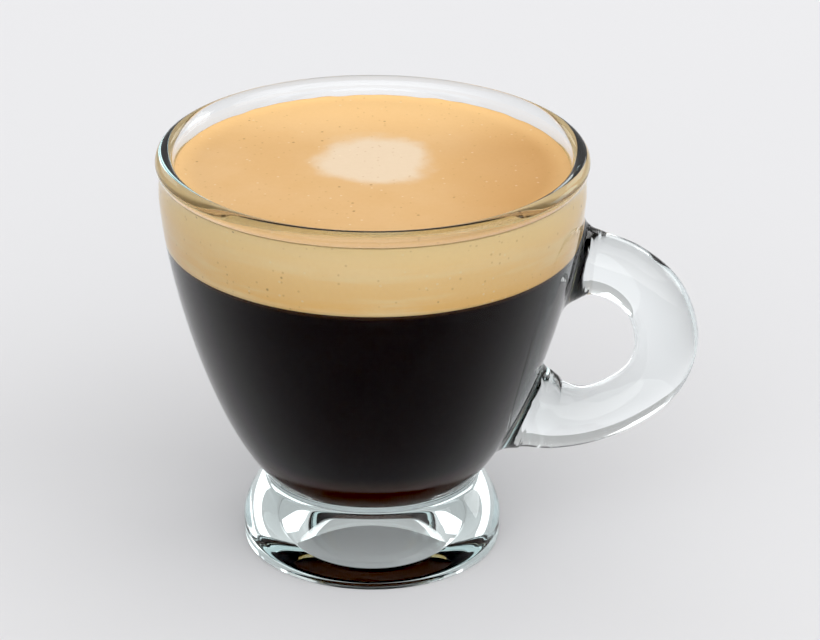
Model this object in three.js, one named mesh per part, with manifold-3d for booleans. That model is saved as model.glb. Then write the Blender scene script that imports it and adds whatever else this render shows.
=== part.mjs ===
// A double espresso in a thick glass cup with a ring handle.
// Units are millimetres and +Z is up. The origin is the centre of the foot, on the table.
// The handle points along +X.
import * as THREE from 'three';
import { mergeVertices } from 'three/addons/utils/BufferGeometryUtils.js';
import Module from 'manifold-3d';

// Driving dimensions of the glass, where a pair is a distance from the axis and a height
const RIM_RADIUS = 32.5;
const RIM_BEAD = 1.35;
const RIM_CENTRE_Z = 62.65;
const WAIST = [31.95, 60.45];
const SHOULDER = [32.1, 57.6];
const NECK = [16.0, 11.45];
const NECK_FILLET = 1.65;
const FOOT_RADIUS = 20.0;
const FOOT_BASE_RADIUS = 19.8;
const FOOT_EDGE_Z = 1.2;
const FOOT_WALL_Z = 2.95;
const CAVITY_MOUTH = [29.3, 60.4];
const CAVITY_KNEE = [16.45, 21.95];
const CAVITY_FLOOR_Z = 13.4;

// The points that bend the outline between those places
const FOOT_EDGE_BEND = [19.95, 0.02];
const FOOT_SHOULDER = [20.05, 5.8];
const BOWL_LOW = [24.7, 20.9];
const BOWL_HIGH = [31.4, 44.8];
const SHOULDER_BEND = [32.05, 59.4];
const BEAD_FOOT = [32.38, 62.15];
const BEAD_BEND = [31.95, 61.6];
const LIP_BEND = [29.6, 61.6];
const CAVITY_FLOOR_EDGE = [12.0, CAVITY_FLOOR_Z];
const CAVITY_CORNER = [11.15, 15.1];
const CAVITY_LOW = [22.45, 29.7];
const CAVITY_HIGH = [28.4, 43.0];

// Driving dimensions of the drink
const LIQUID_GAP = 0.3;
const COFFEE_TOP_Z = 50.1;
const CREMA_TOP_Z = 61.0;
const CREMA_EDGE_RISE = 0.35;
const CREMA_EDGE_WIDTH = 3.0;
const TOP_MARGIN = 0.5;

// Facets
const GLASS_SEGMENTS = 60;
const DRINK_SEGMENTS = 48;
const HANDLE_STEPS = 28;
const HANDLE_SIDES = 14;
const SLIVER = 0.01;

// The rod of the handle: how far its middle is from the axis, its height and its half width
// in the plane of the ring, from the upper root round to the lower root
const HANDLE_STATIONS = [
  { x: 25.5, z: 46.7, half: 7.6 },
  { x: 30.2, z: 46.0, half: 6.6 },
  { x: 33.6, z: 45.6, half: 5.1 },
  { x: 38.3, z: 43.9, half: 4.75 },
  { x: 42.9, z: 39.7, half: 4.8 },
  { x: 45.0, z: 32.7, half: 4.9 },
  { x: 43.4, z: 26.6, half: 4.5 },
  { x: 38.9, z: 22.4, half: 4.3 },
  { x: 33.2, z: 20.0, half: 4.5 },
  { x: 28.2, z: 20.0, half: 5.6 },
  { x: 24.0, z: 21.4, half: 7.0 },
  { x: 19.5, z: 22.0, half: 7.4 },
];
const HANDLE_HALF_THICKNESS = 4.3;
const HANDLE_ROOT_SPREAD = 0.35;
const HANDLE_ROD_HALF = 4.6;
const HANDLE_BITE = 1.4;

const wasm = await Module();
wasm.setup();

// Solids and meshes

function solidOf(geometry) {
  geometry.deleteAttribute('normal');
  geometry.deleteAttribute('uv');
  const merged = mergeVertices(geometry, 1e-4);
  const index = merged.index.array;
  const triangles = [];
  for (let i = 0; i < index.length; i += 3) {
    const [a, b, c] = [index[i], index[i + 1], index[i + 2]];
    if (a !== b && b !== c && c !== a) {
      triangles.push(a, b, c);
    }
  }
  const vertProperties = new Float32Array(merged.attributes.position.array);
  const triVerts = new Uint32Array(triangles);
  return new wasm.Manifold(new wasm.Mesh({ numProp: 3, vertProperties, triVerts }));
}

function meshOf(solid, name, material) {
  const { vertProperties, triVerts } = solid.getMesh();
  const geometry = new THREE.BufferGeometry();
  geometry.setAttribute('position', new THREE.BufferAttribute(vertProperties, 3));
  geometry.setIndex(new THREE.BufferAttribute(triVerts, 1));
  geometry.computeVertexNormals();
  const mesh = new THREE.Mesh(geometry, material);
  mesh.name = name;
  return mesh;
}

// Turns a path of (radius, height) points, which runs from the axis at the bottom to the axis
// at the top, into a closed solid that stands along +Z
function turned(points, segments) {
  const geometry = new THREE.LatheGeometry(points, segments);
  geometry.rotateX(Math.PI / 2);
  return solidOf(geometry);
}

// The glass without its handle, as one path: under the foot, up the outside, over the rim and
// down the inside to the floor of the hollow

function cavityCurve() {
  const wall = new THREE.Path();
  wall.moveTo(0, CAVITY_FLOOR_Z);
  wall.bezierCurveTo(...CAVITY_FLOOR_EDGE, ...CAVITY_CORNER, ...CAVITY_KNEE);
  wall.bezierCurveTo(...CAVITY_LOW, ...CAVITY_HIGH, ...CAVITY_MOUTH);
  return wall;
}

// Where the neck's fillet starts or ends, on the way from the neck to a point beyond it
function besideNeck(point) {
  const corner = new THREE.Vector2(...NECK);
  const way = new THREE.Vector2(...point).sub(corner).setLength(NECK_FILLET);
  return corner.add(way).toArray();
}

function footCurve() {
  const foot = new THREE.Path();
  foot.moveTo(FOOT_BASE_RADIUS, 0);
  foot.quadraticCurveTo(...FOOT_EDGE_BEND, FOOT_RADIUS, FOOT_EDGE_Z);
  foot.lineTo(FOOT_RADIUS, FOOT_WALL_Z);
  foot.quadraticCurveTo(...FOOT_SHOULDER, ...besideNeck(FOOT_SHOULDER));
  foot.quadraticCurveTo(...NECK, ...besideNeck(BOWL_LOW));
  return foot;
}

function bowlCurve() {
  const bowl = new THREE.Path();
  bowl.moveTo(...besideNeck(BOWL_LOW));
  bowl.bezierCurveTo(...BOWL_LOW, ...BOWL_HIGH, ...SHOULDER);
  return bowl;
}

function rimCurve() {
  const rim = new THREE.Path();
  rim.moveTo(...SHOULDER);
  rim.quadraticCurveTo(...SHOULDER_BEND, ...WAIST);
  rim.quadraticCurveTo(...BEAD_BEND, ...BEAD_FOOT);
  rim.absarc(RIM_RADIUS - RIM_BEAD, RIM_CENTRE_Z, RIM_BEAD, 0, Math.PI, false);
  rim.quadraticCurveTo(...LIP_BEND, ...CAVITY_MOUTH);
  return rim;
}

function bodyPoints() {
  return [
    new THREE.Vector2(0, 0),
    ...footCurve().getPoints(4),
    ...bowlCurve().getPoints(13).slice(1),
    ...rimCurve().getPoints(4).slice(1),
    ...cavityCurve().getPoints(8).reverse().slice(1),
  ];
}

// A plug out to the middle of the wall, which trims the ends of the handle

function plugPoints() {
  return [
    new THREE.Vector2(0, CAVITY_FLOOR_Z - HANDLE_BITE),
    ...cavityCurve()
      .getPoints(8)
      .slice(1)
      .map((p) => new THREE.Vector2(p.x + HANDLE_BITE, p.y)),
    new THREE.Vector2(0, CAVITY_MOUTH[1]),
  ];
}

// The handle is a straight oval rod that is laid along the stations

function handle() {
  const centre = new THREE.CatmullRomCurve3(
    HANDLE_STATIONS.map(({ x, z }) => new THREE.Vector3(x, 0, z)),
    false,
    'centripetal',
  );
  const widths = new THREE.SplineCurve(
    HANDLE_STATIONS.map(({ half }, i) => new THREE.Vector2(i, half)),
  );
  const oval = new THREE.Shape();
  oval.absellipse(0, 0, 1, 1, 0, 2 * Math.PI, false);
  const rod = new THREE.ExtrudeGeometry(oval, {
    depth: 1,
    steps: HANDLE_STEPS,
    curveSegments: HANDLE_SIDES,
    bevelEnabled: false,
  });
  const position = rod.attributes.position;
  const point = new THREE.Vector3();
  for (let i = 0; i < position.count; i += 1) {
    const along = Math.min(Math.max(position.getZ(i), 0), 1);
    const half = widths.getPoint(along).y;
    const thickness = HANDLE_HALF_THICKNESS + HANDLE_ROOT_SPREAD * (half - HANDLE_ROD_HALF);
    const tangent = centre.getTangent(along);
    centre.getPoint(along, point);
    point.x += tangent.z * half * position.getX(i);
    point.y += thickness * position.getY(i);
    point.z -= tangent.x * half * position.getX(i);
    position.setXYZ(i, point.x, point.y, point.z);
  }
  return solidOf(rod);
}

// The drink keeps a small gap to the glass and to its own layers

function radiusOfCavity(z) {
  const wall = cavityCurve().getPoints(60);
  for (let i = 1; i < wall.length; i += 1) {
    if (wall[i].y >= z) {
      const share = (z - wall[i - 1].y) / (wall[i].y - wall[i - 1].y);
      return wall[i - 1].x + share * (wall[i].x - wall[i - 1].x);
    }
  }
  return CAVITY_MOUTH[0];
}

function coffeePoints() {
  const top = COFFEE_TOP_Z - LIQUID_GAP / 2;
  const side = cavityCurve()
    .getPoints(7)
    .slice(1)
    .map((p) => new THREE.Vector2(p.x - LIQUID_GAP, p.y + LIQUID_GAP))
    .filter((p) => p.y < top - TOP_MARGIN);
  return [
    new THREE.Vector2(0, CAVITY_FLOOR_Z + LIQUID_GAP),
    ...side,
    new THREE.Vector2(radiusOfCavity(top) - LIQUID_GAP, top),
    new THREE.Vector2(0, top),
  ];
}

function cremaPoints() {
  const bottom = COFFEE_TOP_Z + LIQUID_GAP / 2;
  const edgeTop = CREMA_TOP_Z + CREMA_EDGE_RISE;
  const points = [new THREE.Vector2(0, bottom)];
  const rows = 5;
  for (let i = 0; i <= rows; i += 1) {
    const z = bottom + ((edgeTop - bottom) * i) / rows;
    points.push(new THREE.Vector2(radiusOfCavity(z) - LIQUID_GAP, z));
  }
  const edge = points[points.length - 1].x;
  const meniscus = 3;
  for (let i = 1; i <= meniscus; i += 1) {
    const share = i / meniscus;
    const rise = CREMA_EDGE_RISE * (1 - share) ** 2;
    points.push(new THREE.Vector2(edge - CREMA_EDGE_WIDTH * share, CREMA_TOP_Z + rise));
  }
  points.push(new THREE.Vector2(0, CREMA_TOP_Z));
  return points;
}

// Materials

const glass = new THREE.MeshStandardMaterial({
  color: 0xdfeceb,
  roughness: 0.03,
  metalness: 0,
  transparent: true,
  opacity: 0.35,
});
const blackCoffee = new THREE.MeshStandardMaterial({ color: 0x120b08, roughness: 0.2, metalness: 0 });
const foam = new THREE.MeshStandardMaterial({ color: 0xe0b880, roughness: 0.6, metalness: 0 });

// The three pieces

const trimmedHandle = handle().subtract(turned(plugPoints(), GLASS_SEGMENTS));
const glassCup = turned(bodyPoints(), GLASS_SEGMENTS).add(trimmedHandle).simplify(SLIVER);

const espresso = new THREE.Group();
espresso.add(meshOf(glassCup, 'glass_cup', glass));
espresso.add(meshOf(turned(coffeePoints(), DRINK_SEGMENTS), 'coffee', blackCoffee));
espresso.add(meshOf(turned(cremaPoints(), DRINK_SEGMENTS), 'crema', foam));

export default espresso;
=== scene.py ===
"""A double espresso in a thick glass cup with a ring handle, on a pale floor in soft light."""
import math

import bpy
import numpy as np
from mathutils import Matrix, Vector


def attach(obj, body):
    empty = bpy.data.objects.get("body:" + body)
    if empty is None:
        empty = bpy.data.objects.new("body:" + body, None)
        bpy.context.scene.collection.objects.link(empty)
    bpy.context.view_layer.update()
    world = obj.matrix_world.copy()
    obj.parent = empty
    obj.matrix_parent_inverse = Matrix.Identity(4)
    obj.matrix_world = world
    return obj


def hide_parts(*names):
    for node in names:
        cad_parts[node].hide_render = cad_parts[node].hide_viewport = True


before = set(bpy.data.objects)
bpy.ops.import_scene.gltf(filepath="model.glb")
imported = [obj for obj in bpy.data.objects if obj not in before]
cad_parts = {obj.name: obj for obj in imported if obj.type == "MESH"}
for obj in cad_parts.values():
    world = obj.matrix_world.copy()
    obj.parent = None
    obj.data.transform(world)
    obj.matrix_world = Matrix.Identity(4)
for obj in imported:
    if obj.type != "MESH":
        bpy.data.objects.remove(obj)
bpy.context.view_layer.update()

# Sizes are in millimetres, and become metres where a mesh, a light or the camera is placed
MM = 0.001

# Driving dimensions of the glass, where a pair is a distance from the axis and a height
RIM_RADIUS = 32.5
RIM_BEAD = 1.35
RIM_CENTRE_Z = 62.65
WAIST = (31.95, 60.45)
SHOULDER = (32.1, 57.6)
NECK = (16.0, 11.45)
NECK_FILLET = 1.65
FOOT_RADIUS = 20.0
FOOT_BASE_RADIUS = 19.8
FOOT_EDGE_Z = 1.2
FOOT_WALL_Z = 2.95
RECESS_RADIUS = 10.45
RECESS_DEPTH = 5.1
CAVITY_MOUTH = (29.3, 60.4)
CAVITY_KNEE = (16.45, 21.95)
CAVITY_FLOOR_Z = 13.4

# The points that bend the outline between those places
FOOT_EDGE_BEND = (19.95, 0.02)
FOOT_SHOULDER = (20.05, 5.8)
BOWL_LOW = (24.7, 20.9)
BOWL_HIGH = (31.4, 44.8)
SHOULDER_BEND = (32.05, 59.4)
BEAD_FOOT = (32.38, 62.15)
BEAD_BEND = (31.95, 61.6)
LIP_BEND = (29.6, 61.6)
RECESS_CROWN = (5.2, RECESS_DEPTH)
RECESS_FLANK = (10.25, 0.75)
CAVITY_FLOOR_EDGE = (12.0, CAVITY_FLOOR_Z)
CAVITY_CORNER = (11.15, 15.1)
CAVITY_LOW = (22.45, 29.7)
CAVITY_HIGH = (28.4, 43.0)

# The rod of the handle, from the upper root round to the lower root: distance from the axis,
# height, and half width in the plane of the ring
HANDLE_STATIONS = [
    (25.5, 46.7, 7.6),
    (30.2, 46.0, 6.6),
    (33.6, 45.6, 5.1),
    (38.3, 43.9, 4.75),
    (42.9, 39.7, 4.8),
    (45.0, 32.7, 4.9),
    (43.4, 26.6, 4.5),
    (38.9, 22.4, 4.3),
    (33.2, 20.0, 4.5),
    (28.2, 20.0, 5.6),
    (24.0, 21.4, 7.0),
    (19.5, 22.0, 7.4),
]
HANDLE_HALF_THICKNESS = 4.3
HANDLE_ROOT_SPREAD = 0.35
HANDLE_ROD_HALF = 4.6
HANDLE_BITE = 1.4
HANDLE_FILLET = 2.5

# Which points the fillet moves: how far from the corner, how far to the side of the handle, and
# how far from the neck and the rim, and how many times each is moved
FILLET_REACH = 1.3 * HANDLE_FILLET
FILLET_HALF_WIDTH = 2.5 * HANDLE_HALF_THICKNESS
FILLET_MARGIN = 1
FILLET_ROUNDS = 4

# The drink
COFFEE_TOP_Z = 50.1
CREMA_TOP_Z = 61.0
CREMA_EDGE_RISE = 0.35
CREMA_FRONT_RISE = 0.42
CREMA_EDGE_RAGGED = 0.16
CREMA_EDGE_WIDTH = 3.0
WALL_BITE = 0.06

# The waves that make the crema's edge ragged: how many there are round the rim, and their start
EDGE_WAVES = [(7, 0.4), (12, 2.1), (19, 4.0), (31, 1.2), (43, 5.1)]

# How finely the meshes are divided
FINE_ARC = 30
FINE_SIDES, COARSE_SIDES = 85, 215
ROD_STEPS, ROD_SIDES = 180, 56
LINE_STEPS = 500
PLUG_SIDES = 240
COFFEE_SIDES = 256
CREMA_SIDES = 512

# The floor lies just under the foot, so that no two faces share a place
FLOOR_HALF = 3000
FLOOR_DROP = 0.06

# The camera: how far it stands from the middle of the rim, how steeply it looks down, its focal
# length in pixels of the 820 by 640 frame, and the pixel where the middle of the rim falls
CAMERA_DISTANCE = 500.0
CAMERA_ELEVATION = 22.0
CAMERA_ROLL = -0.114
FOCAL_PIXELS = 3343.8
FRAME_PIXELS = (820, 640)
RIM_CENTRE_PIXEL = (372.8, 157.5)
SENSOR = 36.0
BLACK_LEVEL = 0.034

# Colours, as shares of the light that comes back
GLASS_TINT = (0.35, 0.78, 0.8, 1)
GLASS_DENSITY = 8.0
GLASS_WAVES = 70
GLASS_WAVE_HEIGHT = 0.02
COFFEE_BLACK = (0.003, 0.0017, 0.0014, 1)
COFFEE_BROWN = (0.008, 0.004, 0.003, 1)
COFFEE_RED = (0.1, 0.045, 0.03, 1)
COFFEE_EDGE = (0.07, 0.03, 0.012, 1)
CREMA_BAND = [
    (0.0, (0.97, 0.6, 0.22, 1)),
    (0.12, (0.98, 0.65, 0.28, 1)),
    (0.6, (0.985, 0.69, 0.33, 1)),
    (1.0, (0.99, 0.75, 0.39, 1)),
]
CREMA_STREAK = (0.99, 0.75, 0.41, 1)
CREMA_TAN = (0.76, 0.47, 0.21, 1)
CREMA_LIGHT_TAN = (0.79, 0.51, 0.25, 1)
CREMA_BROWN = (0.6, 0.32, 0.115, 1)
CREMA_ORANGE = (0.97, 0.63, 0.29, 1)
CREMA_PATCH = (0.85, 0.69, 0.51, 1)
CREMA_GRAIN = (0.85, 0.78, 0.68, 1)
PATCH_PLACE = (0.0, 3.2 * MM)
PATCH_SIZE = (8.6 * MM, 10.0 * MM)
PATCH_WOBBLE = 1.1
PATCH_EDGE = (1.18, 0.72)

# Where a tone of the drink begins and ends, in millimetres
COFFEE_RED_HEIGHT = 6
COFFEE_EDGE_HEIGHT = 0.9
BROWN_FROM, BROWN_TO = 5, 26
ORANGE_FROM, ORANGE_TO = 6, 27
EDGE_FROM, EDGE_TO = 25.5, 29.3

# How strongly each tone of the drink covers what is under it
COFFEE_EDGE_SHARE = 0.6
BROWN_SHARE = 0.7
ORANGE_SHARE = 0.9
EDGE_SHARE = 0.55
PATCH_SHARE = 0.92
GRAIN_SHARE = 0.22

# Noise in the drink: waves to a metre
COFFEE_CLOUDS = 70
CREMA_CLOUDS = 60
CREMA_STREAKS = 55
CREMA_FINE_GRAIN = 1500
CREMA_COARSE_GRAIN = 400
PATCH_CLOUDS = 110
CREMA_GRAIN_HEIGHT = 0.05

# Bubbles in the crema: cells to a metre, size as a share of a cell, colour, and how strong. A
# cell holds one only if its own random number is over the limits given below
CREMA_SPECKS = [
    (900, 0.22, (0.5, 0.27, 0.09, 1), 0.3),
    (420, 0.12, (0.32, 0.15, 0.05, 1), 0.55),
    (650, 0.16, (0.97, 0.83, 0.6, 1), 0.35),
]
SPECK_LIMITS = (0.62, 0.66)

# The floor
FLOOR_TONE = (0.78, 0.78, 0.795, 1)
FLOOR_SHADE = (0.755, 0.755, 0.77, 1)

# The room: how bright it is along an axis that runs from -1 to 1
ROOM_UPWARD = [(0.0, 0.5), (0.3, 0.55), (0.6, 0.74), (1.0, 0.76)]
ROOM_BACKWARD = [(-1.0, 2.6), (-0.35, 1.1), (0.0, 0.5), (0.3, 0.45)]
ROOM_STRENGTH = 0.95

# Softboxes: degrees from straight behind towards the right, degrees up, size and power
LIGHT_DISTANCE = 2500
LIGHT_TARGET = (0, 0, 30)
SOFTBOXES = [
    ("back_left", -30, 24, (820, 750), 2.4),
    ("back_right", 32, 24, (860, 800), 2.9),
    ("low_right", 62, 15, (1000, 900), 6.4),
    ("right", 112, 42, (1600, 1600), 8.5),
]

scene = bpy.context.scene


# Curves

def bezier(p0, p1, p2, p3, count):
    """Points of a cubic curve, both ends among them."""
    t = np.linspace(0, 1, count)[:, None]
    a, b, c, d = (np.array(p, float) for p in (p0, p1, p2, p3))
    return (1 - t) ** 3 * a + 3 * (1 - t) ** 2 * t * b + 3 * (1 - t) * t * t * c + t ** 3 * d


def quadratic(p0, p1, p2, count):
    """Points of a quadratic curve, both ends among them."""
    t = np.linspace(0, 1, count)[:, None]
    a, b, c = (np.array(p, float) for p in (p0, p1, p2))
    return (1 - t) ** 2 * a + 2 * (1 - t) * t * b + t * t * c


def joined(*parts):
    """One run of points from several that meet end to end."""
    return np.vstack([parts[0]] + [p[1:] for p in parts[1:]])


def cavity_wall(count):
    """(radius, height) of the inside of the glass, from its floor to its mouth."""
    low = bezier((0, CAVITY_FLOOR_Z), CAVITY_FLOOR_EDGE, CAVITY_CORNER, CAVITY_KNEE, count)
    high = bezier(CAVITY_KNEE, CAVITY_LOW, CAVITY_HIGH, CAVITY_MOUTH, count)
    return joined(low, high)


def lip(count):
    """(radius, height) of the inside above the mouth, up to the middle of the rim's bead."""
    return quadratic(CAVITY_MOUTH, LIP_BEND, (RIM_RADIUS - 2 * RIM_BEAD, RIM_CENTRE_Z), count)


def cavity_radius(z):
    """Radius of the hollow at a height."""
    wall = joined(cavity_wall(120), lip(24))
    return np.interp(z, wall[:, 1], wall[:, 0])


def underside():
    """The domed hollow under the foot, and the flat ring round it."""
    edge = (RECESS_RADIUS, 0)
    dome = bezier((0, RECESS_DEPTH), RECESS_CROWN, RECESS_FLANK, edge, 28)
    return joined(dome, np.array([edge, (FOOT_BASE_RADIUS, 0)]))


def beside_neck(point):
    """Where the neck's fillet starts or ends, on the way from the neck to a point beyond it."""
    way = np.array(point) - NECK
    return NECK + way * NECK_FILLET / np.linalg.norm(way)


def outside():
    """(radius, height) of the outer face, from the foot's base up to the rim's bead."""
    edge, top = (FOOT_RADIUS, FOOT_EDGE_Z), (FOOT_RADIUS, FOOT_WALL_Z)
    below, above = beside_neck(FOOT_SHOULDER), beside_neck(BOWL_LOW)
    return joined(
        quadratic((FOOT_BASE_RADIUS, 0), FOOT_EDGE_BEND, edge, 9),
        np.array([edge, top]),
        quadratic(top, FOOT_SHOULDER, below, 24),
        quadratic(below, NECK, above, 12),
        bezier(above, BOWL_LOW, BOWL_HIGH, SHOULDER, 90),
        quadratic(SHOULDER, SHOULDER_BEND, WAIST, 7),
        quadratic(WAIST, BEAD_BEND, BEAD_FOOT, 8),
    )


def rim():
    """(radius, height) over the rolled rim, from the outside to the mouth of the hollow."""
    bead = RIM_RADIUS - RIM_BEAD
    turn = np.linspace(0, math.pi, 21)
    arc = np.stack([bead + RIM_BEAD * np.cos(turn), RIM_CENTRE_Z + RIM_BEAD * np.sin(turn)], 1)
    return joined(arc, lip(12)[::-1])


def glass_profile():
    """(radius, height) round the whole wall: underside, outside, rim and inside."""
    return joined(underside(), np.vstack([outside(), rim()]), cavity_wall(40)[::-1])


# Meshes

def mesh_object(name, points, faces):
    """A smooth-shaded object from points in millimetres."""
    mesh = bpy.data.meshes.new(name)
    mesh.from_pydata([tuple(p) for p in np.asarray(points) * MM], [], faces)
    mesh.validate()
    mesh.shade_smooth()
    obj = bpy.data.objects.new(name, mesh)
    scene.collection.objects.link(obj)
    return obj


def mesh_points(obj):
    """The points of an object's mesh, in millimetres."""
    points = np.zeros(len(obj.data.vertices) * 3)
    obj.data.vertices.foreach_get("co", points)
    return points.reshape(-1, 3) / MM


def all_round(count):
    """Evenly spaced directions, in radians."""
    return np.linspace(0, 2 * math.pi, count, endpoint=False)


def turned(profile, angles):
    """Points and faces of a form turned about +Z, whose profile starts and ends on the axis."""
    ring = profile[1:-1]
    count, rows = len(angles), len(ring)
    x = np.outer(ring[:, 0], np.cos(angles))
    y = np.outer(ring[:, 0], np.sin(angles))
    z = np.repeat(ring[:, 1:], count, 1)
    points = np.stack([x, y, z], -1).reshape(-1, 3)
    first, last = len(points), len(points) + 1
    points = np.vstack([points, [(0, 0, profile[0, 1])], [(0, 0, profile[-1, 1])]])
    faces = []
    for j in range(count):
        k = (j + 1) % count
        faces.append((first, k, j))
        faces.append((last, (rows - 1) * count + j, (rows - 1) * count + k))
        for i in range(rows - 1):
            faces.append((i * count + j, i * count + k, (i + 1) * count + k, (i + 1) * count + j))
    return points, faces


def handle_line(count):
    """Points (distance from the axis, height, half width) of a centripetal Catmull-Rom curve."""
    stations = np.array(HANDLE_STATIONS)
    knots = np.vstack([2 * stations[0] - stations[1], stations, 2 * stations[-1] - stations[-2]])
    spans = len(stations) - 1
    line = []
    for u in np.linspace(0, spans, count):
        i = min(int(u), spans - 1)
        p = knots[i:i + 4]
        gaps = np.linalg.norm(np.diff(p[:, :2], axis=0), axis=1) ** 0.5
        t = np.concatenate([[0], np.cumsum(gaps)])
        x = t[1] + (u - i) * (t[2] - t[1])
        for reach in (1, 2):
            share = ((x - t[:-reach]) / (t[reach:] - t[:-reach]))[:, None]
            p = (1 - share) * p[:-1] + share * p[1:]
        share = (x - t[1]) / (t[2] - t[1])
        line.append((1 - share) * p[0] + share * p[1])
    return np.array(line)


def half_thickness(half):
    """How thick the rod is across the ring, where it is so wide within the ring."""
    return HANDLE_HALF_THICKNESS + HANDLE_ROOT_SPREAD * (half - HANDLE_ROD_HALF)


def directions(line):
    """Unit directions along the handle's line."""
    slope = np.gradient(line[:, :2], axis=0)
    return slope / np.linalg.norm(slope, axis=1)[:, None]


def handle_rod(steps, sides):
    """Points and faces of the oval rod laid along its line."""
    line = handle_line(steps)
    slope = directions(line)
    turn = all_round(sides)
    half = line[:, 2:3]
    across = half * np.cos(turn)
    x = line[:, :1] + slope[:, 1:] * across
    y = half_thickness(half) * np.sin(turn)
    z = line[:, 1:2] - slope[:, :1] * across
    points = np.stack([x, y, z], -1).reshape(-1, 3)
    faces = []
    for i in range(steps - 1):
        for j in range(sides):
            k = (j + 1) % sides
            faces.append((i * sides + j, i * sides + k, (i + 1) * sides + k, (i + 1) * sides + j))
    faces.append(tuple(range(sides - 1, -1, -1)))
    faces.append(tuple(range((steps - 1) * sides, steps * sides)))
    return points, faces


def combine(obj, other, operation):
    """A Boolean of two closed meshes, applied to the first; the second is removed."""
    modifier = obj.modifiers.new("combine", "BOOLEAN")
    modifier.operation = operation
    modifier.solver = "MANIFOLD"
    modifier.object = other
    graph = bpy.context.evaluated_depsgraph_get()
    mesh = bpy.data.meshes.new_from_object(obj.evaluated_get(graph))
    obj.modifiers.clear()
    obj.data = mesh
    bpy.data.objects.remove(other)


# The fillet between the wall and the handle

def wall_distance(points):
    """Signed distance to the outside of the body, less than nought inside it."""
    line = outside()
    a, b = line[:-1], line[1:]
    step = b - a
    length = (step ** 2).sum(1)
    p = np.stack([np.hypot(points[:, 0], points[:, 1]), points[:, 2]], 1)
    offset = p[:, None] - a
    share = np.clip((offset * step).sum(2) / length, 0, 1)
    gap = offset - share[..., None] * step
    far = np.linalg.norm(gap, axis=2)
    nearest = far.argmin(1)
    rows = np.arange(len(p))
    normal = np.stack([step[:, 1], -step[:, 0]], 1) / np.sqrt(length)[:, None]
    side = (gap[rows, nearest] * normal[nearest]).sum(1)
    return np.where(side >= 0, 1, -1) * far[rows, nearest]


def rod_distance(points):
    """Signed distance to the handle's oval rod."""
    line = handle_line(LINE_STEPS)
    slope = directions(line)
    p = points[:, [0, 2]]
    far = ((p[:, None] - line[:, :2]) ** 2).sum(2)
    nearest = far.argmin(1)
    offset = p - line[nearest, :2]
    along = (offset * slope[nearest]).sum(1)
    spacing = np.linalg.norm(np.gradient(line[:, :2], axis=0), axis=1)[nearest]
    half = np.interp(nearest + along / spacing, np.arange(len(line)), line[:, 2])
    thick = half_thickness(half)
    across = (offset * np.stack([slope[:, 1], -slope[:, 0]], 1)[nearest]).sum(1)
    up = points[:, 1]
    scale = np.sqrt((across / half) ** 2 + (up / thick) ** 2)
    slant = np.sqrt((across / half ** 2) ** 2 + (up / thick ** 2) ** 2)
    return scale * (scale - 1) / np.maximum(slant, 1e-9)


def filleted(points):
    """A field that is nought on the glass, with the corner between wall and handle rounded."""
    wall, rod = wall_distance(points), rod_distance(points)
    overlap = np.maximum(HANDLE_FILLET - np.abs(wall - rod), 0)
    return np.minimum(wall, rod) - overlap ** 2 / (4 * HANDLE_FILLET)


def gradient(field, points, step=0.01):
    """Slopes of a field at points, from its values a short step either way."""
    columns = []
    for axis in np.eye(3) * step:
        columns.append((field(points + axis) - field(points - axis)) / (2 * step))
    return np.stack(columns, 1)


def round_the_roots(obj):
    """Moves the points near the handle on to the filleted surface, and gives them its normals."""
    points = mesh_points(obj)
    radius = np.hypot(points[:, 0], points[:, 1])
    height = points[:, 2]
    on_side = (height > NECK[1] + FILLET_MARGIN) & (height < RIM_CENTRE_Z - FILLET_MARGIN)
    inner = radius < cavity_radius(height) + HANDLE_BITE / 2
    near = (np.abs(points[:, 1]) < FILLET_HALF_WIDTH) & (points[:, 0] > 0)
    chosen = np.flatnonzero(on_side & near & ~inner)
    apart = np.abs(wall_distance(points[chosen]) - rod_distance(points[chosen]))
    chosen = chosen[apart < FILLET_REACH]
    part = points[chosen]
    for _ in range(FILLET_ROUNDS):
        slope = gradient(filleted, part)
        step = filleted(part) / (slope ** 2).sum(1)
        part = part - step[:, None] * slope
    points[chosen] = part
    obj.data.vertices.foreach_set("co", (points * MM).ravel())
    obj.data.update()
    normals = np.zeros(len(points) * 3)
    obj.data.vertices.foreach_get("normal", normals)
    normals = normals.reshape(-1, 3)
    slope = gradient(filleted, part)
    normals[chosen] = slope / np.linalg.norm(slope, axis=1)[:, None]
    obj.data.shade_smooth()
    obj.data.normals_split_custom_set_from_vertices([tuple(n) for n in normals])


# Materials

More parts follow.
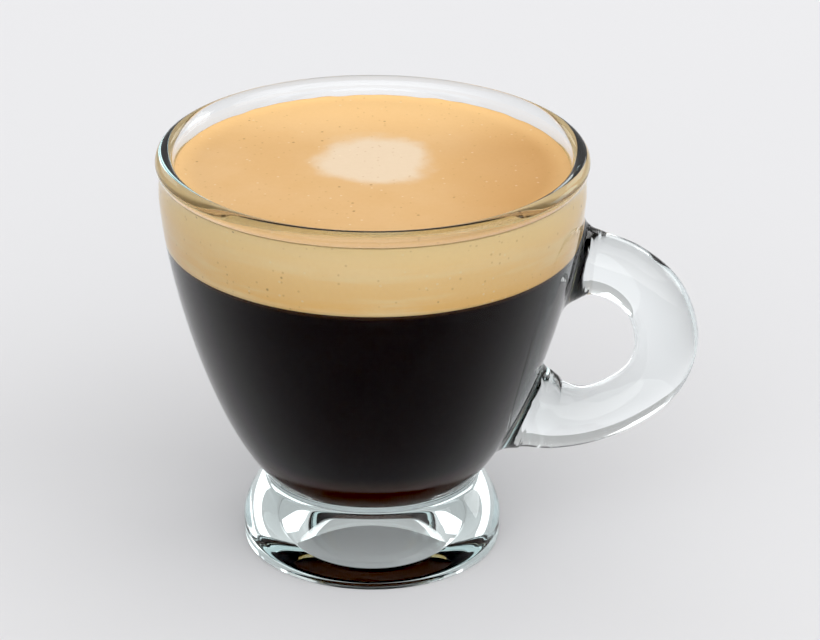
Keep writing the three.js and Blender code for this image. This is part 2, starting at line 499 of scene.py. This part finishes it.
class Look:
    """A material in the making, with short ways to add and join its nodes."""

    def __init__(self, name):
        self.made = bpy.data.materials.new(name)
        self.made.use_nodes = True
        self.tree = self.made.node_tree
        self.shader = self.tree.nodes["Principled BSDF"]
        self.place = self.add("TexCoord").outputs["Object"]

    def feed(self, socket, value):
        """Joins a socket to another one, or sets its value."""
        if isinstance(value, bpy.types.NodeSocket):
            self.tree.links.new(value, socket)
        else:
            socket.default_value = value

    def add(self, kind, inputs=None, **settings):
        """A new node with its settings made and its inputs fed."""
        node = self.tree.nodes.new("ShaderNode" + kind)
        for key, value in settings.items():
            setattr(node, key, value)
        for key, value in (inputs or {}).items():
            self.feed(node.inputs[key], value)
        return node

    def sums(self, operation, a, b=0.0):
        """Two numbers put together."""
        return self.add("Math", {0: a, 1: b}, operation=operation).outputs[0]

    def between(self, value, low, high):
        """0 below the low end, 1 above the high end, and smooth between them."""
        inputs = {"Value": value, "From Min": low, "From Max": high}
        return self.add("MapRange", inputs, interpolation_type="SMOOTHSTEP").outputs["Result"]

    def noise(self, scale, detail=2.0, stretch=(1, 1, 1)):
        """Soft random variation about 0.5, fixed to the object."""
        spot = self.add("Mapping", {"Vector": self.place, "Scale": stretch}).outputs[0]
        inputs = {"Vector": spot, "Scale": scale, "Detail": detail}
        return self.add("TexNoise", inputs).outputs["Fac"]

    def mix(self, share, a, b, blend="MIX"):
        """The first colour, with a share of the second laid over it."""
        node = self.add("Mix", data_type="RGBA", blend_type=blend)
        for socket, value in zip((node.inputs[0], node.inputs[6], node.inputs[7]), (share, a, b)):
            self.feed(socket, value)
        return node.outputs[2]

    def ramp(self, value, stops):
        """Colours at places along a value from 0 to 1."""
        node = self.add("ValToRGB", {"Fac": value})
        elements = node.color_ramp.elements
        while len(elements) < len(stops):
            elements.new(0.5)
        for element, (position, colour) in zip(elements, stops):
            element.position = position
            element.color = colour
        return node.outputs["Color"]

    def split(self):
        """The three coordinates of a place on the object."""
        return self.add("SeparateXYZ", {0: self.place}).outputs

    def radius(self, x=0.0, y=0.0, wide=1.0, deep=1.0):
        """Distance in metres from an upright line, stretched along X and Y."""
        moved = (-x / wide, -y / deep, 0)
        scale = (1 / wide, 1 / deep, 0)
        spot = self.add("Mapping", {"Vector": self.place, "Location": moved, "Scale": scale}).outputs[0]
        return self.add("VectorMath", {0: spot}, operation="LENGTH").outputs["Value"]

    def bump(self, height, distance, strength=1.0):
        """Fine relief on the surface, its height in metres."""
        inputs = {"Height": height, "Distance": distance, "Strength": strength}
        self.feed(self.shader.inputs["Normal"], self.add("Bump", inputs).outputs[0])

    def set(self, **values):
        """Sets the shader's own inputs, named with _ for a space."""
        for key, value in values.items():
            self.feed(self.shader.inputs[key.replace("_", " ")], value)


def glass_material():
    """Pressed clear glass: faintly wavy, and blue-green where the light has a long way through."""
    look = Look("glass")
    look.set(Base_Color=(1, 1, 1, 1), Roughness=0.0, IOR=1.5, Transmission_Weight=1.0)
    look.bump(look.noise(GLASS_WAVES, 1.0), GLASS_WAVE_HEIGHT * MM)
    tint = look.add("VolumeAbsorption", {"Color": GLASS_TINT, "Density": GLASS_DENSITY})
    output = look.tree.nodes["Material Output"]
    look.feed(output.inputs["Volume"], tint.outputs[0])
    return look.made


def coffee_material():
    """Near black, and red-brown low down and just under the crema, where it is thin."""
    look = Look("coffee")
    height = look.split()["Z"]
    low = look.between(height, (CAVITY_FLOOR_Z + COFFEE_RED_HEIGHT) * MM, CAVITY_FLOOR_Z * MM)
    top = look.between(height, (COFFEE_TOP_Z - COFFEE_EDGE_HEIGHT) * MM, COFFEE_TOP_Z * MM)
    clouds = look.noise(COFFEE_CLOUDS, 3.0)
    black = look.mix(clouds, COFFEE_BLACK, COFFEE_BROWN)
    colour = look.mix(low, black, COFFEE_RED)
    colour = look.mix(look.sums("MULTIPLY", top, COFFEE_EDGE_SHARE), colour, COFFEE_EDGE)
    look.set(Base_Color=colour, Roughness=0.6, Specular_IOR_Level=0.0)
    return look.made


def crema_side(look, height):
    """The band that shows through the wall: paler upwards, with faint level streaks."""
    share = look.between(height, COFFEE_TOP_Z * MM, CREMA_TOP_Z * MM)
    band = look.ramp(share, CREMA_BAND)
    streaks = look.noise(CREMA_STREAKS, 4.0, stretch=(1, 1, 7))
    return look.mix(look.between(streaks, 0.45, 0.75), band, CREMA_STREAK)


def crema_top(look, x, y):
    """The upper face: tan, browner to the right, more orange at the back and edge, with a pale patch."""
    clouds = look.noise(CREMA_CLOUDS, 4.0)
    colour = look.mix(look.between(clouds, 0.35, 0.7), CREMA_TAN, CREMA_LIGHT_TAN)
    right = look.between(x, BROWN_FROM * MM, BROWN_TO * MM)
    colour = look.mix(look.sums("MULTIPLY", right, BROWN_SHARE), colour, CREMA_BROWN)
    back = look.between(y, ORANGE_FROM * MM, ORANGE_TO * MM)
    colour = look.mix(look.sums("MULTIPLY", back, ORANGE_SHARE), colour, CREMA_ORANGE)
    edge = look.between(look.radius(), EDGE_FROM * MM, EDGE_TO * MM)
    colour = look.mix(look.sums("MULTIPLY", edge, EDGE_SHARE), colour, CREMA_ORANGE)
    wobble = look.sums("SUBTRACT", look.noise(PATCH_CLOUDS, 4.0), 0.5)
    wobble = look.sums("MULTIPLY", wobble, PATCH_WOBBLE)
    reach = look.sums("ADD", look.radius(*PATCH_PLACE, *PATCH_SIZE), wobble)
    patch = look.between(reach, *PATCH_EDGE)
    return look.mix(look.sums("MULTIPLY", patch, PATCH_SHARE), colour, CREMA_PATCH)


def crema_material():
    """Fine coffee foam, with tiny bubbles as dark and pale specks."""
    look = Look("crema")
    x, y, height = look.split()
    normal = look.add("NewGeometry").outputs["Normal"]
    upward = look.add("SeparateXYZ", {0: normal}).outputs["Z"]
    is_top = look.between(upward, 0.4, 0.7)
    colour = look.mix(is_top, crema_side(look, height), crema_top(look, x, y))
    grain = look.noise(CREMA_FINE_GRAIN, 2.0)
    share = look.sums("MULTIPLY", grain, GRAIN_SHARE)
    colour = look.mix(share, colour, CREMA_GRAIN, blend="MULTIPLY")
    for scale, size, shade, strength in CREMA_SPECKS:
        cells = look.add("TexVoronoi", {"Vector": look.place, "Scale": scale})
        chance = look.add("SeparateColor", {0: cells.outputs["Color"]}).outputs[0]
        few = look.between(chance, *SPECK_LIMITS)
        spot = look.between(cells.outputs["Distance"], size, size * 0.5)
        spot = look.sums("MULTIPLY", look.sums("MULTIPLY", spot, few), strength)
        colour = look.mix(spot, colour, shade)
    look.set(Base_Color=colour, Roughness=0.55, Specular_IOR_Level=0.25)
    relief = look.sums("ADD", grain, look.noise(CREMA_COARSE_GRAIN, 3.0))
    look.bump(relief, CREMA_GRAIN_HEIGHT * MM, 0.5)
    return look.made


def floor_material():
    """A matt pale tabletop with hardly any variation."""
    look = Look("floor")
    colour = look.mix(look.noise(3.0, 2.0), FLOOR_TONE, FLOOR_SHADE)
    look.set(Base_Color=colour, Roughness=0.9, Specular_IOR_Level=0.0)
    return look.made


# The pieces

def glass_angles():
    """Directions round the axis, closer together where the handle joins the wall."""
    fine = np.linspace(-FINE_ARC, FINE_ARC, FINE_SIDES)
    coarse = np.linspace(FINE_ARC, 360 - FINE_ARC, COARSE_SIDES)[1:-1]
    return np.radians(np.concatenate([fine, coarse]))


def make_glass():
    """The cup in one piece: the turned body, the handle joined to it, and the fillets."""
    body = mesh_object("glass_cup_clear", *turned(glass_profile(), glass_angles()))
    rod = mesh_object("rod", *handle_rod(ROD_STEPS, ROD_SIDES))
    wall = cavity_wall(30)
    plug_line = np.vstack([
        [(0, CAVITY_FLOOR_Z - HANDLE_BITE)],
        wall[1:] + np.array([HANDLE_BITE, 0]),
        [(0, CAVITY_MOUTH[1])],
    ])
    plug = mesh_object("plug", *turned(plug_line, all_round(PLUG_SIDES)))
    combine(rod, plug, "DIFFERENCE")
    combine(body, rod, "UNION")
    round_the_roots(body)
    body.data.materials.clear()
    body.data.materials.append(glass_material())
    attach(body, "root")
    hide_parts("glass_cup")


def make_coffee():
    """The coffee, from the floor of the hollow up to the foam."""
    wall = cavity_wall(60)
    side = wall[(wall[:, 1] < COFFEE_TOP_Z - 0.2) & (wall[:, 0] > 0.5)]
    side = side + np.array([WALL_BITE, -WALL_BITE])
    profile = np.vstack([
        [(0, CAVITY_FLOOR_Z - WALL_BITE)],
        side,
        [(cavity_radius(COFFEE_TOP_Z) + WALL_BITE, COFFEE_TOP_Z)],
        [(0, COFFEE_TOP_Z)],
    ])
    coffee = mesh_object("coffee_black", *turned(profile, all_round(COFFEE_SIDES)))
    coffee.data.materials.append(coffee_material())
    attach(coffee, "root")
    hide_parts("coffee")


def edge_rise(points):
    """How far the foam climbs the wall: a little higher in front, and ragged towards the back."""
    turn = np.arctan2(points[:, 1], points[:, 0])
    front = (1 - np.sin(turn)) / 2
    ragged = np.zeros(len(turn))
    for waves, shift in EDGE_WAVES:
        ragged += np.sin(waves * turn + shift) / len(EDGE_WAVES)
    ragged *= CREMA_EDGE_RAGGED * (1 - front) ** 2
    return CREMA_EDGE_RISE + CREMA_FRONT_RISE * front ** 2 + ragged


def make_crema():
    """The foam, which follows the wall and climbs it a little at its edge."""
    heights = np.linspace(COFFEE_TOP_Z, CREMA_TOP_Z, 24)
    side = np.stack([cavity_radius(heights) + WALL_BITE, heights], 1)
    edge = side[-1, 0]
    inward = edge - CREMA_EDGE_WIDTH * np.linspace(0, 1, 16)[1:] ** 1.5
    inward = np.concatenate([inward, np.linspace(inward[-1], 0, 40)[1:]])
    top = np.stack([inward, np.full(len(inward), CREMA_TOP_Z)], 1)
    profile = np.vstack([[(0, COFFEE_TOP_Z)], side, top])
    points, faces = turned(profile, all_round(CREMA_SIDES))
    radius = np.hypot(points[:, 0], points[:, 1])
    on_wall = radius > cavity_radius(points[:, 2])
    near_wall = np.clip((radius - edge + CREMA_EDGE_WIDTH) / CREMA_EDGE_WIDTH, 0, 1)
    high = np.clip((points[:, 2] - COFFEE_TOP_Z) / (CREMA_TOP_Z - COFFEE_TOP_Z), 0, 1)
    points[:, 2] += edge_rise(points) * near_wall ** 3 * high ** 4
    stretch = (cavity_radius(points[on_wall, 2]) + WALL_BITE) / radius[on_wall]
    points[on_wall, :2] *= stretch[:, None]
    crema = mesh_object("crema_foam", points, faces)
    crema.data.materials.append(crema_material())
    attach(crema, "root")
    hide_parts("crema")


# The stage

def make_floor():
    """The plain tabletop, which isn't part of the object."""
    corners = [(-1, -1), (1, -1), (1, 1), (-1, 1)]
    points = [(x * FLOOR_HALF, y * FLOOR_HALF, -FLOOR_DROP) for x, y in corners]
    floor = mesh_object("floor", points, [(0, 1, 2, 3)])
    floor.data.materials.append(floor_material())


def softbox(name, place, size, power):
    """A rectangular area light in millimetres that faces the cup."""
    light = bpy.data.lights.new(name, "AREA")
    light.shape = "RECTANGLE"
    light.size, light.size_y = size[0] * MM, size[1] * MM
    light.energy = power
    lamp = bpy.data.objects.new(name, light)
    lamp.location = Vector(place) * MM
    lamp.rotation_mode = "QUATERNION"
    lamp.rotation_quaternion = (Vector(place) - Vector(LIGHT_TARGET)).to_track_quat("Z", "Y")
    scene.collection.objects.link(lamp)


def make_world():
    """A pale room: bright in front, softer overhead, dimmer low down at the sides and behind."""
    world = bpy.data.worlds.new("studio")
    scene.world = world
    world.use_nodes = True
    nodes, links = world.node_tree.nodes, world.node_tree.links
    place = nodes.new("ShaderNodeTexCoord")
    split = nodes.new("ShaderNodeSeparateXYZ")
    links.new(place.outputs["Generated"], split.inputs[0])
    tones = []
    for axis, stops in (("Z", ROOM_UPWARD), ("Y", ROOM_BACKWARD)):
        half = nodes.new("ShaderNodeMapRange")
        half.inputs["From Min"].default_value = -1
        ramp = nodes.new("ShaderNodeValToRGB")
        links.new(split.outputs[axis], half.inputs["Value"])
        links.new(half.outputs["Result"], ramp.inputs[0])
        elements = ramp.color_ramp.elements
        while len(elements) < len(stops):
            elements.new(0.5)
        for element, (step, tone) in zip(elements, stops):
            element.position = (step + 1) / 2
            element.color = (tone, tone, tone, 1)
        tones.append(ramp.outputs[0])
    joint = nodes.new("ShaderNodeMix")
    joint.data_type = "RGBA"
    joint.blend_type = "LIGHTEN"
    joint.inputs[0].default_value = 1
    links.new(tones[0], joint.inputs[6])
    links.new(tones[1], joint.inputs[7])
    links.new(joint.outputs[2], nodes["Background"].inputs["Color"])
    nodes["Background"].inputs["Strength"].default_value = ROOM_STRENGTH


def make_lights():
    """The softboxes, each the same way off, facing the cup."""
    for name, turn, height, size, power in SOFTBOXES:
        flat = LIGHT_DISTANCE * math.cos(math.radians(height))
        place = (
            flat * math.sin(math.radians(turn)),
            flat * math.cos(math.radians(turn)),
            LIGHT_DISTANCE * math.sin(math.radians(height)),
        )
        softbox(name, place, size, power)


def make_camera():
    """A long lens at the photo's angle, with the middle of the rim on its pixel."""
    centre = Vector((0, 0, RIM_CENTRE_Z)) * MM
    tilt = math.radians(CAMERA_ELEVATION)
    back = Vector((0, -math.cos(tilt), math.sin(tilt)))
    right = Vector((1, 0, 0))
    level = Matrix((right, back.cross(right), back))
    across = RIM_CENTRE_PIXEL[0] - FRAME_PIXELS[0] / 2
    upward = FRAME_PIXELS[1] / 2 - RIM_CENTRE_PIXEL[1]
    aim = Vector((across / FOCAL_PIXELS, upward / FOCAL_PIXELS, -1))
    swing = Vector((0, 0, -1)).rotation_difference(aim).to_matrix()
    roll = Matrix.Rotation(math.radians(CAMERA_ROLL), 3, "Z")
    data = bpy.data.cameras.new("camera")
    data.sensor_width = SENSOR
    data.lens = FOCAL_PIXELS / FRAME_PIXELS[0] * SENSOR
    data.clip_start, data.clip_end = 0.02, 20
    camera = bpy.data.objects.new("camera", data)
    camera.rotation_mode = "QUATERNION"
    camera.rotation_quaternion = (swing @ roll @ level).transposed().to_quaternion()
    camera.location = centre + back * CAMERA_DISTANCE * MM
    scene.collection.objects.link(camera)
    scene.camera = camera


def set_tones():
    """A plain picture, with its blacks pulled down a little."""
    settings = scene.view_settings
    settings.view_transform = "Standard"
    settings.use_curve_mapping = True
    settings.curve_mapping.black_level = (BLACK_LEVEL,) * 3
    settings.curve_mapping.update()


set_tones()
make_camera()
make_glass()
make_coffee()
make_crema()
make_floor()
make_world()
make_lights()

bpy.context.view_layer.update()
